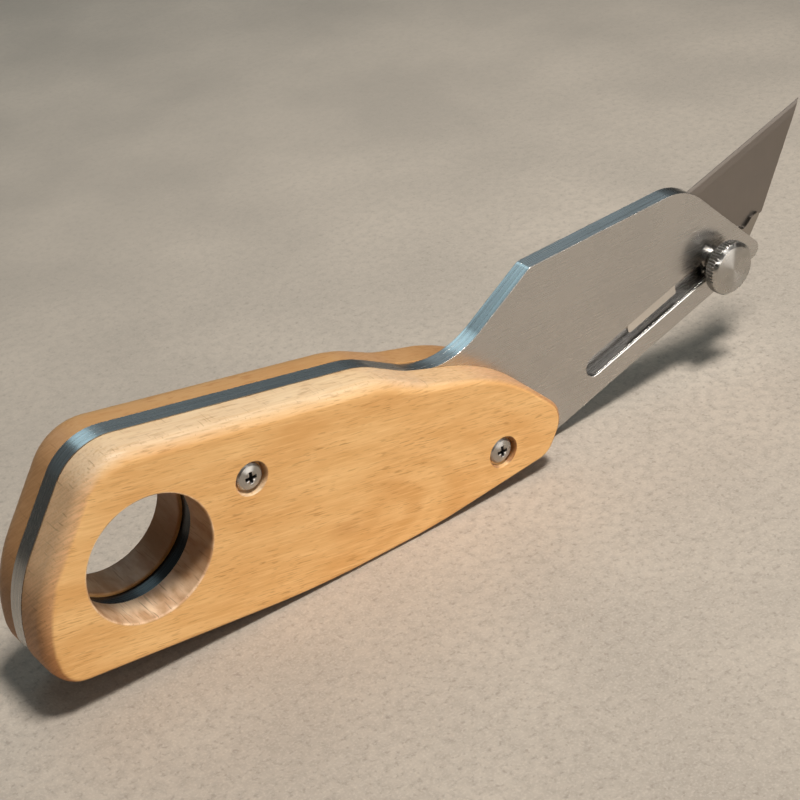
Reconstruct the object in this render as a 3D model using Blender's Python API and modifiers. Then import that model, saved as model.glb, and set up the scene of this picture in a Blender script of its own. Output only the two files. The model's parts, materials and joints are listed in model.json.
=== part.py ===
"""Leather knife with a sliding trapezoid blade.

Two wooden scales are screwed to a body of three steel plates. The middle plate is cut away
to leave a channel, where the blade and its carrier slide. A knurled thumb screw runs in the near
plate's slot and draws a nut in the carrier towards it, which clamps the blade.

Outline points are (forward, up) from the centre of the ring hole. Y is the thickness, and the
thumb screw is on the -Y side. The knife stands on the flat of its lower edge.
"""
import math

import bmesh
import bpy
from mathutils import Matrix, Vector

MM = 0.001

# Handle and body outline, from the centre of the ring hole
HOLE_RADIUS = 12.5 * MM
HOLE_HEIGHT = 24.5 * MM
BUTT_REACH = 22.5 * MM
BUTT_SHOULDER = -0.6 * MM
BUTT_ARC_RADIUS = 35.0 * MM
HEEL_RADIUS = 8.0 * MM
CROWN_X = -7.0 * MM
CROWN_Z = 23.9 * MM
CROWN_RADIUS = 11.0 * MM
HUMP_X = 52.2 * MM
HUMP_Z = 13.4 * MM
HUMP_RADIUS = 20.0 * MM
CHOIL_X = 72.0 * MM
CHOIL_Z = 2.6 * MM
CHOIL_RADIUS = 22.0 * MM
BROW_X = 94.4 * MM
BROW_Z = 17.8 * MM
BROW_RADIUS = 2.0 * MM
NOSE_X = 137.5 * MM
NOSE_Z = 19.9 * MM
NOSE_RADIUS = 13.0 * MM
NOSE_FALL = math.radians(43.3)
CHIN_RADIUS = 2.2 * MM
ROCKER_START_X = 33.0 * MM
ROCKER_RISE = math.radians(7.1)
REAR_ROCKER_RADIUS = 200.0 * MM
FRONT_ROCKER_RADIUS = 40.0 * MM

# Front rim of the wooden scales, and their toe that lifts off the steel's lower edge
RIM_FALL = math.radians(18.0)
RIM_BREAK_X = 82.0 * MM
RIM_STEEP_FALL = math.radians(45.0)
RIM_BREAK_RADIUS = 60.0 * MM
SCALE_FRONT_X = 96.2 * MM
SCALE_FRONT_RADIUS = 7.5 * MM
SCALE_TOE_X = 91.2 * MM
SCALE_TOE_RADIUS = 5.0 * MM
SCALE_LIFT_X = 61.0 * MM
SCALE_LIFT = math.radians(6.2)
SCALE_LIFT_RADIUS = 160.0 * MM

# Thicknesses, and the play between flat faces
SCALE_THICKNESS = 7.8 * MM
PLATE_THICKNESS = 1.2 * MM
BLADE_THICKNESS = 0.6 * MM
CARRIER_THICKNESS = 0.6 * MM
LAMINATION_GAP = 0.02 * MM
SLIDE_PLAY = 0.08 * MM
EDGE_PLAY = 0.2 * MM

# Softened edges of the wood, and the steel set back inside the ring hole. Back and butt are rounded over
# more than the lower edge and the front rim, and more on the far side, which lies in the palm
NEAR_ROUNDOVER = 2.8 * MM
FAR_ROUNDOVER = 4.5 * MM
LOW_ROUNDOVER = 1.2 * MM
LOW_FACING = -0.9
FULL_FACING = -0.3
HOLE_EASE = 0.5 * MM
MOUTH_ANGLE = math.radians(70.0)
PLATE_HOLE_RELIEF = 0.8 * MM

# Blade slide: the stud's place with the blade out, the way it runs and how far
SLIDE_ANGLE = math.radians(17.4)
STUD_X = 146.7 * MM
STUD_Z = -0.95 * MM
TRAVEL = 37.0 * MM
SLOT_TO_EDGE = 6.9 * MM
STUD_RADIUS = 1.5 * MM
SHOULDER_RADIUS = 2.0 * MM
SLOT_CLEARANCE = 0.3 * MM
BORE_CLEARANCE = 0.15 * MM
PRESS_CLEARANCE = 0.05 * MM

# Trapezoid blade with two round notches in its back, and the heads that fill them
BLADE_LENGTH = 60.4 * MM
BLADE_HEIGHT = 19.0 * MM
BLADE_SLANT = math.radians(48.0)
BLADE_BACK_RISE = 0.45 * MM
EDGE_BEVEL = 0.8 * MM
CUTTING_EDGE = 0.08 * MM
NOTCH_SPACING = 8.0 * MM
NOTCH_FILL_RADIUS = 2.4 * MM

# Carrier strip beside the blade's back, with a gap behind the stud and a tongue in front
CARRIER_REAR = 25.9 * MM
CARRIER_FRONT = 16.7 * MM
CARRIER_DEPTH = 2.6 * MM
CARRIER_BAR_DEPTH = 0.6 * MM
CARRIER_RISE = 1.8 * MM
CARRIER_LUG_RISE = 5.0 * MM
CARRIER_LUG_REAR = 3.1 * MM
CARRIER_LUG_FRONT = 2.6 * MM
CARRIER_GAP_REAR = 11.3 * MM
CARRIER_WAIST = 0.4 * MM
CARRIER_TONGUE_REAR = 13.5 * MM
CARRIER_TONGUE_SLOPE = 5.4 * MM
CARRIER_CORNER = 1.2 * MM
NOTCH_PIN_RADIUS = 1.5 * MM

# Clamp nut, pressed into the carrier from behind
NUT_SHANK_RADIUS = 1.9 * MM
STUD_SHORT_OF_NUT = 0.2 * MM

# Thumb screw head
HEAD_RADIUS = 6.0 * MM
HEAD_RIM = 3.0 * MM
HEAD_CHAMFER = 0.45 * MM
HEAD_FACE_CHAMFER = 0.8 * MM
COLLAR_RADIUS = 3.1 * MM
COLLAR_LENGTH = 2.3 * MM
FLUTE_COUNT = 52
FLUTE_DEPTH = 0.25 * MM
FLUTE_SHARE = 0.64
FLUTE_OVERSHOOT = 0.25

# Scale screws, and the threaded barrels that they meet in
REAR_SCREW_X = 21.9 * MM
REAR_SCREW_Z = 6.4 * MM
FRONT_SCREW_X = 79.1 * MM
FRONT_SCREW_Z = -14.9 * MM
SCREW_RADIUS = 1.5 * MM
SCREW_HEAD_RADIUS = 2.7 * MM
SCREW_HEAD_HEIGHT = 1.9 * MM
SCREW_HEAD_EDGE = 1.3 * MM
SCREW_HEAD_SUNK = 0.3 * MM
SCREW_TIP_GAP = 0.4 * MM
COUNTERBORE_RADIUS = 3.2 * MM
COUNTERBORE_EASE = 0.3 * MM
SEAT_GAP = 0.05 * MM
BARREL_RADIUS = 2.4 * MM
BARREL_REACH = 1.5 * MM
RECESS_LENGTH = 3.4 * MM
RECESS_WIDTH = 0.95 * MM
RECESS_DEPTH = 1.2 * MM
RECESS_TAPER = 0.45

# Fineness of round stretches and of shading, and how far a cutter runs past what it cuts
SAGITTA = 0.02 * MM
FEWEST_STEPS = 16
ROUNDOVER_STEPS = 5
DOME_STEPS = 3
CORNER_SHARE = 0.48
SHARP_ANGLE = math.radians(30.0)
CUT_MARGIN = 2.0 * MM
MERGE_DISTANCE = 0.001 * MM

# Faces across the thickness, as distances from the middle plane
CHANNEL_HALF = (BLADE_THICKNESS + CARRIER_THICKNESS + 3 * SLIDE_PLAY) / 2
CORE_FACE = CHANNEL_HALF - LAMINATION_GAP
PLATE_INNER = CHANNEL_HALF
PLATE_OUTER = PLATE_INNER + PLATE_THICKNESS
SCALE_INNER = PLATE_OUTER + LAMINATION_GAP
SCALE_OUTER = SCALE_INNER + SCALE_THICKNESS
SCREW_SEAT = SCALE_OUTER - SCREW_HEAD_SUNK - SCREW_HEAD_HEIGHT
BARREL_END = PLATE_OUTER + BARREL_REACH
FLOOR_Z = -HOLE_HEIGHT

TO_NEAR_SIDE = Matrix.Rotation(math.pi / 2, 4, "X")
TO_FAR_SIDE = Matrix.Rotation(-math.pi / 2, 4, "X")


def arc_steps(radius, angle):
    """Straight steps that keep an arc within the sagitta."""
    step = 2 * math.acos(1 - SAGITTA / max(radius, 2 * SAGITTA))
    return max(1, math.ceil(abs(angle) / step))


def ring(x, z, radius):
    """A full circle as outline points."""
    count = max(FEWEST_STEPS, arc_steps(radius, math.tau))
    return [(x + radius * math.cos(math.tau * i / count), z + radius * math.sin(math.tau * i / count))
            for i in range(count)]


def rounded(corners):
    """A closed outline from corners (x, z, radius). A radius too big for its sides is limited by them."""
    points = []
    for i, (x, z, radius) in enumerate(corners):
        here = Vector((x, z))
        back = Vector(corners[i - 1][:2]) - here
        ahead = Vector(corners[(i + 1) % len(corners)][:2]) - here
        turn = math.pi - back.angle(ahead)
        reach = radius * math.tan(turn / 2)
        limit = CORNER_SHARE * min(back.length, ahead.length)
        if reach > limit:
            radius *= limit / reach
            reach = limit
        if reach < MERGE_DISTANCE:
            points.append((x, z))
            continue
        start = here + back.normalized() * reach
        middle = (back.normalized() + ahead.normalized()).normalized()
        centre = here + middle * math.hypot(radius, reach)
        sweep = turn if back.cross(ahead) < 0 else -turn
        steps = arc_steps(radius, turn)
        for k in range(steps + 1):
            spoke = Matrix.Rotation(sweep * k / steps, 2) @ (start - centre)
            points.append(tuple(centre + spoke))
    return points


def crossing(point_a, angle_a, point_b, angle_b):
    """Where two lines, each given by a point and an angle, cross."""
    along = Vector((math.cos(angle_a), math.sin(angle_a)))
    across = Vector((-math.sin(angle_b), math.cos(angle_b)))
    gap = Vector(point_b) - Vector(point_a)
    return tuple(Vector(point_a) + along * (gap.dot(across) / along.dot(across)))


def on_slide(along, above):
    """Body coordinates of a point on the blade's slide, from the stud's place with the blade out."""
    return (STUD_X + along * math.cos(SLIDE_ANGLE) - above * math.sin(SLIDE_ANGLE),
            STUD_Z + along * math.sin(SLIDE_ANGLE) + above * math.cos(SLIDE_ANGLE))


def fall_angle(x1, z1, x2, z2):
    return math.atan2(z2 - z1, x2 - x1)


def rear_corners():
    """Heel, butt, crown and hump: the corners that wood and steel share, from the floor round to the top."""
    heel_z = FLOOR_Z + (ROCKER_START_X + BUTT_REACH) * math.tan(ROCKER_RISE)
    return [(ROCKER_START_X, FLOOR_Z, REAR_ROCKER_RADIUS),
            (-BUTT_REACH, heel_z, HEEL_RADIUS),
            (-BUTT_REACH, BUTT_SHOULDER, BUTT_ARC_RADIUS),
            (CROWN_X, CROWN_Z, CROWN_RADIUS),
            (HUMP_X, HUMP_Z, HUMP_RADIUS)]


def rocker_front_corner():
    """Where the lower edge of the steel, carried back, meets the floor."""
    return crossing((0.0, FLOOR_Z), 0.0, on_slide(0.0, -SLOT_TO_EDGE), SLIDE_ANGLE)


def body_outline():
    """Outline of the steel plates."""
    chin = crossing((NOSE_X, NOSE_Z), -NOSE_FALL, on_slide(0.0, -SLOT_TO_EDGE), SLIDE_ANGLE)
    front = [(CHOIL_X, CHOIL_Z, CHOIL_RADIUS),
             (BROW_X, BROW_Z, BROW_RADIUS),
             (NOSE_X, NOSE_Z, NOSE_RADIUS),
             (*chin, CHIN_RADIUS),
             (*rocker_front_corner(), FRONT_ROCKER_RADIUS)]
    return rounded(rear_corners() + front)


def scale_outline():
    """Outline of the wooden scales: flush with the steel behind, then cut off along the front rim."""
    drop = fall_angle(HUMP_X, HUMP_Z, CHOIL_X, CHOIL_Z)
    climb = fall_angle(CHOIL_X, CHOIL_Z, BROW_X, BROW_Z)
    leave = CHOIL_RADIUS * (math.tan((climb - drop) / 2) - math.tan((-RIM_FALL - drop) / 2))
    rim_start = (CHOIL_X - leave * math.cos(drop), CHOIL_Z - leave * math.sin(drop))
    rim_break_z = rim_start[1] - (RIM_BREAK_X - rim_start[0]) * math.tan(RIM_FALL)
    rim_end_z = rim_break_z - (SCALE_FRONT_X - RIM_BREAK_X) * math.tan(RIM_STEEP_FALL)
    toe_z = FLOOR_Z + (SCALE_TOE_X - SCALE_LIFT_X) * math.tan(SCALE_LIFT)
    front = [(*rim_start, CHOIL_RADIUS),
             (RIM_BREAK_X, rim_break_z, RIM_BREAK_RADIUS),
             (SCALE_FRONT_X, rim_end_z, SCALE_FRONT_RADIUS),
             (SCALE_TOE_X, toe_z, SCALE_TOE_RADIUS),
             (SCALE_LIFT_X, FLOOR_Z, SCALE_LIFT_RADIUS)]
    return rounded(rear_corners() + front)


def new_collection(name):
    collection = bpy.data.collections.new(name)
    bpy.context.scene.collection.children.link(collection)
    return collection


def new_material(name, colour, roughness, metallic):
    material = bpy.data.materials.new(name)
    material.use_nodes = True
    shader = material.node_tree.nodes["Principled BSDF"]
    shader.inputs["Base Color"].default_value = (*colour, 1.0)
    shader.inputs["Roughness"].default_value = roughness
    shader.inputs["Metallic"].default_value = metallic
    return material


def new_empty(name, location, rotation, parent):
    empty = bpy.data.objects.new(name, None)
    empty.empty_display_size = HOLE_RADIUS
    empty.location = location
    empty.rotation_euler = rotation
    empty.parent = parent
    parts.objects.link(empty)
    return empty


def weld(mesh):
    shape = bmesh.new()
    shape.from_mesh(mesh)
    bmesh.ops.remove_doubles(shape, verts=shape.verts, dist=MERGE_DISTANCE)
    bmesh.ops.recalc_face_normals(shape, faces=shape.faces)
    shape.to_mesh(mesh)
    shape.free()


def sheet(name, loops, thickness):
    """A flat piece: outlines and holes filled and given a thickness, as a mesh about its middle plane."""
    curve = bpy.data.curves.new(name, "CURVE")
    curve.dimensions = "2D"
    curve.fill_mode = "BOTH"
    curve.extrude = thickness / 2
    for loop in loops:
        spline = curve.splines.new("POLY")
        spline.points.add(len(loop) - 1)
        for point, (x, z) in zip(spline.points, loop):
            point.co = (x, z, 0.0, 1.0)
        spline.use_cyclic_u = True
    flat = bpy.data.objects.new(name, curve)
    parts.objects.link(flat)
    bpy.context.view_layer.update()
    depsgraph = bpy.context.evaluated_depsgraph_get()
    mesh = bpy.data.meshes.new_from_object(flat.evaluated_get(depsgraph))
    mesh.name = name
    weld(mesh)
    bpy.data.objects.remove(flat)
    bpy.data.curves.remove(curve)
    return mesh


def turned(name, profile):
    """A turned piece about its own Z, from a profile (radius, height) that runs from top to bottom."""
    mesh = bpy.data.meshes.new(name)
    mesh.from_pydata([(r, 0.0, z) for r, z in profile], [(i, i + 1) for i in range(len(profile) - 1)], [])
    piece = bpy.data.objects.new(name, mesh)
    screw = piece.modifiers.new("Turn", "SCREW")
    screw.steps = max(FEWEST_STEPS, arc_steps(max(r for r, z in profile), math.tau))
    screw.render_steps = screw.steps
    screw.use_merge_vertices = True
    screw.merge_threshold = MERGE_DISTANCE
    return piece


def cut(piece, cutter, solver="EXACT"):
    boolean = piece.modifiers.new("Cut " + cutter.name, "BOOLEAN")
    boolean.operation = "DIFFERENCE"
    boolean.solver = solver
    boolean.object = cutter


def add_cutter(cutter, turn, place, parent):
    """Put a cutting shape in place, unseen."""
    cutter.parent = parent
    cutter.matrix_local = Matrix.Translation(place) @ turn
    cutter.display_type = "WIRE"
    cutter.hide_render = True
    cutters.objects.link(cutter)
    return cutter


def add_part(piece, turn, place, parent, material):
    """Put a finished piece in place, with its material and smooth shading on its round faces."""
    piece.parent = parent
    piece.matrix_local = Matrix.Translation(place) @ turn
    piece.data.materials.append(material)
    piece.data.shade_smooth()
    piece.data.set_sharp_from_angle(angle=SHARP_ANGLE)
    parts.objects.link(piece)
    return piece


def add_sheet(name, loops, near_y, far_y, parent, material):
    mesh = sheet(name, loops, far_y - near_y)
    piece = bpy.data.objects.new(name, mesh)
    return add_part(piece, TO_NEAR_SIDE, (0.0, (near_y + far_y) / 2, 0.0), parent, material)


def eased_ends(radius, ease, half_length):
    """Profile of a hole's cutter whose two mouths open out in a round that breaks through the face."""
    start = half_length - ease * math.sin(MOUTH_ANGLE)
    angles = [math.pi / 2 * i / ROUNDOVER_STEPS for i in range(ROUNDOVER_STEPS + 1)]
    mouth = [(radius + ease * (1 - math.cos(a)), start + ease * math.sin(a)) for a in angles]
    top = [(0.0, half_length + CUT_MARGIN), (radius + ease, half_length + CUT_MARGIN)] + mouth[::-1]
    return top + [(r, -z) for r, z in top[::-1]]


def screw_hole_profile():
    """Eased counterbore, shank hole and barrel pocket, the same on both sides of the middle plane."""
    shank = SCREW_RADIUS + BORE_CLEARANCE
    pocket = BARREL_RADIUS + BORE_CLEARANCE
    pocket_end = BARREL_END + BORE_CLEARANCE
    past = SCALE_OUTER + CUT_MARGIN
    top = [(0.0, past), (COUNTERBORE_RADIUS + COUNTERBORE_EASE + CUT_MARGIN, past),
           (COUNTERBORE_RADIUS, SCALE_OUTER - COUNTERBORE_EASE), (COUNTERBORE_RADIUS, SCREW_SEAT),
           (shank, SCREW_SEAT), (shank, pocket_end), (pocket, pocket_end)]
    return top + [(r, -z) for r, z in top[::-1]]


def share_between(value, low, high):
    """How far a value is from low to high, from 0 to 1."""
    return min(1.0, max(0.0, (value - low) / (high - low)))


def scale_rim(roundover):
    """The scale's outline as points (x, z), each with its outward direction and its own round-over."""
    outline = scale_outline()
    rim = []
    for i, (x, z) in enumerate(outline):
        ahead = Vector(outline[(i + 1) % len(outline)]) - Vector(outline[i - 1])
        out_x, out_z = Vector((-ahead.y, ahead.x)).normalized()
        full = min(share_between(out_z, LOW_FACING, FULL_FACING), share_between(x, CHOIL_X, HUMP_X))
        rim.append((x, z, out_x, out_z, LOW_ROUNDOVER + (roundover - LOW_ROUNDOVER) * full))
    return rim


def make_scale(name, side, roundover, screw_places):
    """One wooden scale, as rings of points from its inner face over the round to its outer face.

    Side is 1 for the near one and -1 for the far one. The exact solver leaves stubs in the far scale's
    screw holes, so both are cut by the manifold one.
    """
    rim = scale_rim(roundover)
    half = SCALE_THICKNESS / 2
    points = [(x, z, -side * half) for x, z, out_x, out_z, width in rim]
    for step in range(ROUNDOVER_STEPS + 1):
        turn = math.pi / 2 * step / ROUNDOVER_STEPS
        for x, z, out_x, out_z, width in rim:
            inset = width * (1 - math.cos(turn))
            points.append((x - inset * out_x, z - inset * out_z, side * (half - width * (1 - math.sin(turn)))))
    count = len(rim)
    last = len(points) - count
    faces = [range(count), range(last, last + count)]
    for start in range(0, last, count):
        for i in range(count):
            j = (i + 1) % count
            faces.append((start + i, start + j, start + count + j, start + count + i))
    mesh = bpy.data.meshes.new(name)
    mesh.from_pydata(points, [], faces)
    weld(mesh)
    scale = bpy.data.objects.new(name, mesh)
    middle_y = -side * (SCALE_INNER + SCALE_THICKNESS / 2)
    add_part(scale, TO_NEAR_SIDE, (0.0, middle_y, 0.0), knife, beech)
    for cutter in [ring_cutter, *screw_places]:
        cut(scale, cutter, "MANIFOLD")


def make_plates():
    """The three steel layers: slotted near plate, core with the blade's channel, and plain far plate."""
    outline = body_outline()
    holes = [ring(0.0, 0.0, HOLE_RADIUS + PLATE_HOLE_RELIEF)]
    for x, z in ((REAR_SCREW_X, REAR_SCREW_Z), (FRONT_SCREW_X, FRONT_SCREW_Z)):
        holes.append(ring(x, z, BARREL_RADIUS + BORE_CLEARANCE))

    near_half = SHOULDER_RADIUS + SLOT_CLEARANCE
    near_slot = slide_box(-TRAVEL - near_half, near_half, -near_half, near_half, near_half)
    add_sheet("near_plate", [outline, *holes, near_slot], -PLATE_OUTER, -PLATE_INNER, knife, steel)

    add_sheet("far_plate", [outline, *holes], PLATE_INNER, PLATE_OUTER, knife, steel)
    core = add_sheet("core_plate", [outline, *holes], -CORE_FACE, CORE_FACE, knife, steel)
    rear = max(CARRIER_REAR, (BLADE_LENGTH - NOTCH_SPACING) / 2) + TRAVEL + EDGE_PLAY
    blade_top = BLADE_BACK_RISE + BLADE_HEIGHT
    channel = slide_box(-rear, BLADE_LENGTH, -CARRIER_DEPTH - EDGE_PLAY, blade_top + EDGE_PLAY, CARRIER_CORNER)
    mesh = sheet("blade_channel", [channel], 2 * CORE_FACE + CUT_MARGIN)
    cutter = bpy.data.objects.new("blade_channel", mesh)
    cut(core, add_cutter(cutter, TO_NEAR_SIDE, (0.0, 0.0, 0.0), knife))


def slide_box(rear, front, low, high, radius):
    """A rounded box along the slide, in body coordinates."""
    corners = [(rear, low), (rear, high), (front, high), (front, low)]
    return rounded([(*on_slide(s, v), radius) for s, v in corners])


def back_notch(along, radius):
    """A round notch about the slide's axis, where it cuts into the blade's back, from front to rear."""
    start = math.asin(BLADE_BACK_RISE / radius)
    sweep = math.pi - 2 * start
    steps = arc_steps(radius, sweep)
    angles = [start + sweep * i / steps for i in range(steps + 1)]
    return [(along + radius * math.cos(a), radius * math.sin(a)) for a in angles]


def make_blade():
    """Trapezoid blade. Its long edge is ground to a cutting edge and its back is notched."""
    middle = NOTCH_SPACING / 2
    half_long = BLADE_LENGTH / 2
    half_short = half_long - BLADE_HEIGHT / math.tan(BLADE_SLANT)
    back = BLADE_BACK_RISE
    top = back + BLADE_HEIGHT
    notch = NOTCH_FILL_RADIUS + BORE_CLEARANCE
    outline = [(middle - half_short, back), (middle - half_long, top),
               (middle + half_long, top), (middle + half_short, back)]
    outline += back_notch(NOTCH_SPACING, notch) + back_notch(0.0, notch)
    mesh = sheet("blade", [outline], BLADE_THICKNESS)
    shape = bmesh.new()
    shape.from_mesh(mesh)
    shape_faces = shape.faces[:] + shape.edges[:] + shape.verts[:]
    bmesh.ops.bisect_plane(shape, geom=shape_faces, plane_co=(0.0, top - EDGE_BEVEL, 0.0),
                           plane_no=(0.0, 1.0, 0.0))
    for vert in shape.verts:
        if vert.co.y > top - MERGE_DISTANCE:
            vert.co.z *= CUTTING_EDGE / BLADE_THICKNESS
    shape.to_mesh(mesh)
    shape.free()
    blade = bpy.data.objects.new("blade", mesh)
    far_y = PLATE_INNER - SLIDE_PLAY
    add_part(blade, TO_NEAR_SIDE, (0.0, far_y - BLADE_THICKNESS / 2, 0.0), carriage, blade_steel)


def make_carrier():
    """Strip that carries the blade: a lug takes the nut, and a pin in it fills the blade's second notch."""
    gap_front = -CARRIER_LUG_REAR
    lug_rear = -CARRIER_GAP_REAR - CARRIER_LUG_REAR
    lug_front = NOTCH_SPACING + CARRIER_LUG_FRONT
    outline = rounded([(-CARRIER_REAR, -CARRIER_BAR_DEPTH, CARRIER_CORNER / 2),
                       (-CARRIER_REAR, CARRIER_RISE, CARRIER_CORNER),
                       (lug_rear - CARRIER_LUG_RISE + CARRIER_RISE, CARRIER_RISE, CARRIER_CORNER),
                       (lug_rear, CARRIER_LUG_RISE, CARRIER_CORNER),
                       (lug_front - CARRIER_LUG_RISE + CARRIER_WAIST, CARRIER_LUG_RISE, CARRIER_CORNER),
                       (lug_front, CARRIER_WAIST, CARRIER_CORNER),
                       (CARRIER_TONGUE_REAR, CARRIER_RISE, CARRIER_CORNER),
                       (CARRIER_FRONT, CARRIER_RISE, CARRIER_CORNER / 2),
                       (CARRIER_FRONT - CARRIER_TONGUE_SLOPE, -CARRIER_DEPTH, CARRIER_CORNER),
                       (gap_front, -CARRIER_DEPTH, CARRIER_CORNER / 2),
                       (gap_front, CARRIER_RISE, CARRIER_CORNER),
                       (-CARRIER_GAP_REAR, CARRIER_RISE, CARRIER_CORNER),
                       (-CARRIER_GAP_REAR, -CARRIER_BAR_DEPTH, CARRIER_CORNER / 2)])
    holes = [ring(0.0, 0.0, NUT_SHANK_RADIUS + PRESS_CLEARANCE),
             ring(NOTCH_SPACING, 0.0, NOTCH_PIN_RADIUS + PRESS_CLEARANCE)]
    near_y = -PLATE_INNER + SLIDE_PLAY
    add_sheet("blade_carrier", [outline, *holes], near_y, near_y + CARRIER_THICKNESS, carriage, carrier_steel)


def headed_wall(shank_radius):
    """Outer profile of a piece with its shank in the carrier and its head in a notch of the blade."""
    end = PLATE_INNER - SLIDE_PLAY
    step = end - CARRIER_THICKNESS - LAMINATION_GAP
    return [(shank_radius, end), (shank_radius, step), (NOTCH_FILL_RADIUS, step), (NOTCH_FILL_RADIUS, -end)]


def make_pin_and_nut():
    """Headed pin for the blade's front notch, and the nut for the stud in the rear one."""
    wall = headed_wall(NOTCH_PIN_RADIUS)
    pin = turned("notch_pin", [(0.0, wall[0][1]), *wall, (0.0, wall[-1][1])])
    add_part(pin, TO_NEAR_SIDE, (NOTCH_SPACING, 0.0, 0.0), carriage, carrier_steel)

    wall = headed_wall(NUT_SHANK_RADIUS)
    bore = STUD_RADIUS + PRESS_CLEARANCE
    nut = turned("clamp_nut", [*wall, (bore, wall[-1][1]), (bore, wall[0][1]), wall[0]])
    add_part(nut, TO_NEAR_SIDE, (0.0, 0.0, 0.0), carriage, zinc)


def make_thumb_screw():
    """Knurled head, collar, shoulder for the slot and stud, turned in one and then fluted round the rim."""
    collar_foot = PLATE_OUTER + SLIDE_PLAY
    rim_back = collar_foot + COLLAR_LENGTH
    face = rim_back + HEAD_RIM
    stud_end = PLATE_INNER - SLIDE_PLAY - STUD_SHORT_OF_NUT
    shoulder_end = PLATE_INNER
    profile = [(0.0, face), (HEAD_RADIUS - HEAD_FACE_CHAMFER, face), (HEAD_RADIUS, face - HEAD_FACE_CHAMFER),
               (HEAD_RADIUS, rim_back + HEAD_CHAMFER), (HEAD_RADIUS - HEAD_CHAMFER, rim_back),
               (COLLAR_RADIUS, rim_back), (COLLAR_RADIUS, collar_foot), (SHOULDER_RADIUS, collar_foot),
               (SHOULDER_RADIUS, shoulder_end), (STUD_RADIUS, shoulder_end), (STUD_RADIUS, -stud_end),
               (0.0, -stud_end)]
    screw = turned("thumb_screw", profile)
    flutes = bpy.data.objects.new("head_flutes", flute_ring(HEAD_RIM + CUT_MARGIN))
    add_cutter(flutes, TO_NEAR_SIDE, (0.0, -(rim_back + face) / 2, 0.0), carriage)
    add_part(screw, TO_NEAR_SIDE, (0.0, 0.0, 0.0), carriage, bright_steel)
    cut(screw, flutes)


def flute_ring(length):
    """A ring of three-sided bars that cut the straight knurl. Each points inwards and ends past the rim."""
    tip = HEAD_RADIUS - FLUTE_DEPTH
    base = HEAD_RADIUS + FLUTE_DEPTH * FLUTE_OVERSHOOT
    half = FLUTE_SHARE * math.pi * HEAD_RADIUS / FLUTE_COUNT * (1 + FLUTE_OVERSHOOT)
    bars = []
    for i in range(FLUTE_COUNT):
        turn = Matrix.Rotation(math.tau * i / FLUTE_COUNT, 2)
        bars.append([tuple(turn @ Vector(point)) for point in ((tip, 0.0), (base, half), (base, -half))])
    return sheet("head_flutes", bars, length)


def cross_recess():
    """Tapered cross that is cut into a screw head, pointing down from its own origin."""
    arm = RECESS_LENGTH / 2
    half = RECESS_WIDTH / 2
    quarter = [(arm, -half), (arm, half), (half, half)]
    outline = []
    for i in range(4):
        turn = Matrix.Rotation(math.pi / 2 * i, 2)
        outline += [tuple(turn @ Vector(point)) for point in quarter]
    mesh = sheet("cross_recess", [outline], 2 * RECESS_DEPTH)
    for vert in mesh.vertices:
        if vert.co.z < 0:
            vert.co.x *= RECESS_TAPER
            vert.co.y *= RECESS_TAPER
    return mesh


def make_screws_and_barrels():
    """Two threaded barrels through the plates, and a pan-head screw into each end of both."""
    top = SCREW_SEAT + SEAT_GAP + SCREW_HEAD_HEIGHT
    edge = SCREW_SEAT + SEAT_GAP + SCREW_HEAD_EDGE
    angles = [math.pi / 2 * i / DOME_STEPS for i in range(DOME_STEPS + 1)]
    crown = [(SCREW_HEAD_RADIUS * math.sin(a), edge + (top - edge) * math.cos(a)) for a in angles]
    profile = crown + [(SCREW_HEAD_RADIUS, SCREW_SEAT + SEAT_GAP), (SCREW_RADIUS, SCREW_SEAT + SEAT_GAP),
                       (SCREW_RADIUS, SCREW_TIP_GAP / 2), (0.0, SCREW_TIP_GAP / 2)]
    wall = [(BARREL_RADIUS, BARREL_END), (BARREL_RADIUS, -BARREL_END),
            (SCREW_RADIUS + BORE_CLEARANCE, -BARREL_END), (SCREW_RADIUS + BORE_CLEARANCE, BARREL_END),
            (BARREL_RADIUS, BARREL_END)]
    for place, x, z in (("front", FRONT_SCREW_X, FRONT_SCREW_Z), ("rear", REAR_SCREW_X, REAR_SCREW_Z)):
        add_part(turned(place + "_barrel", wall), TO_NEAR_SIDE, (x, 0.0, z), knife, zinc)
        for side, turn in (("near", TO_NEAR_SIDE), ("far", TO_FAR_SIDE)):
            name = side + "_" + place + "_screw"
            screw = add_part(turned(name, profile), turn, (x, 0.0, z), knife, bright_steel)
            recess = bpy.data.objects.new(name + "_recess", cross_recess())
            add_cutter(recess, turn @ Matrix.Translation((0.0, 0.0, top)), (x, 0.0, z), knife)
            cut(screw, recess)


for leftover in list(bpy.data.objects):
    bpy.data.objects.remove(leftover)

parts = new_collection("leather_knife")
cutters = new_collection("cutters")

beech = new_material("beech", (0.62, 0.36, 0.15), 0.5, 0.0)
steel = new_material("satin_steel", (0.56, 0.55, 0.53), 0.32, 1.0)
blade_steel = new_material("blade_steel", (0.42, 0.40, 0.38), 0.3, 1.0)
carrier_steel = new_material("carrier_steel", (0.6, 0.59, 0.56), 0.35, 1.0)
bright_steel = new_material("bright_steel", (0.68, 0.68, 0.68), 0.2, 1.0)
zinc = new_material("zinc_plate", (0.58, 0.59, 0.6), 0.35, 1.0)

tip_x = on_slide((BLADE_LENGTH + NOTCH_SPACING) / 2, BLADE_BACK_RISE + BLADE_HEIGHT)[0]
knife = new_empty("knife", ((BUTT_REACH - tip_x) / 2, 0.0, HOLE_HEIGHT), (0.0, 0.0, 0.0), None)
carriage = new_empty("blade_carriage", (STUD_X, 0.0, STUD_Z), (0.0, -SLIDE_ANGLE, 0.0), knife)

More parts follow.
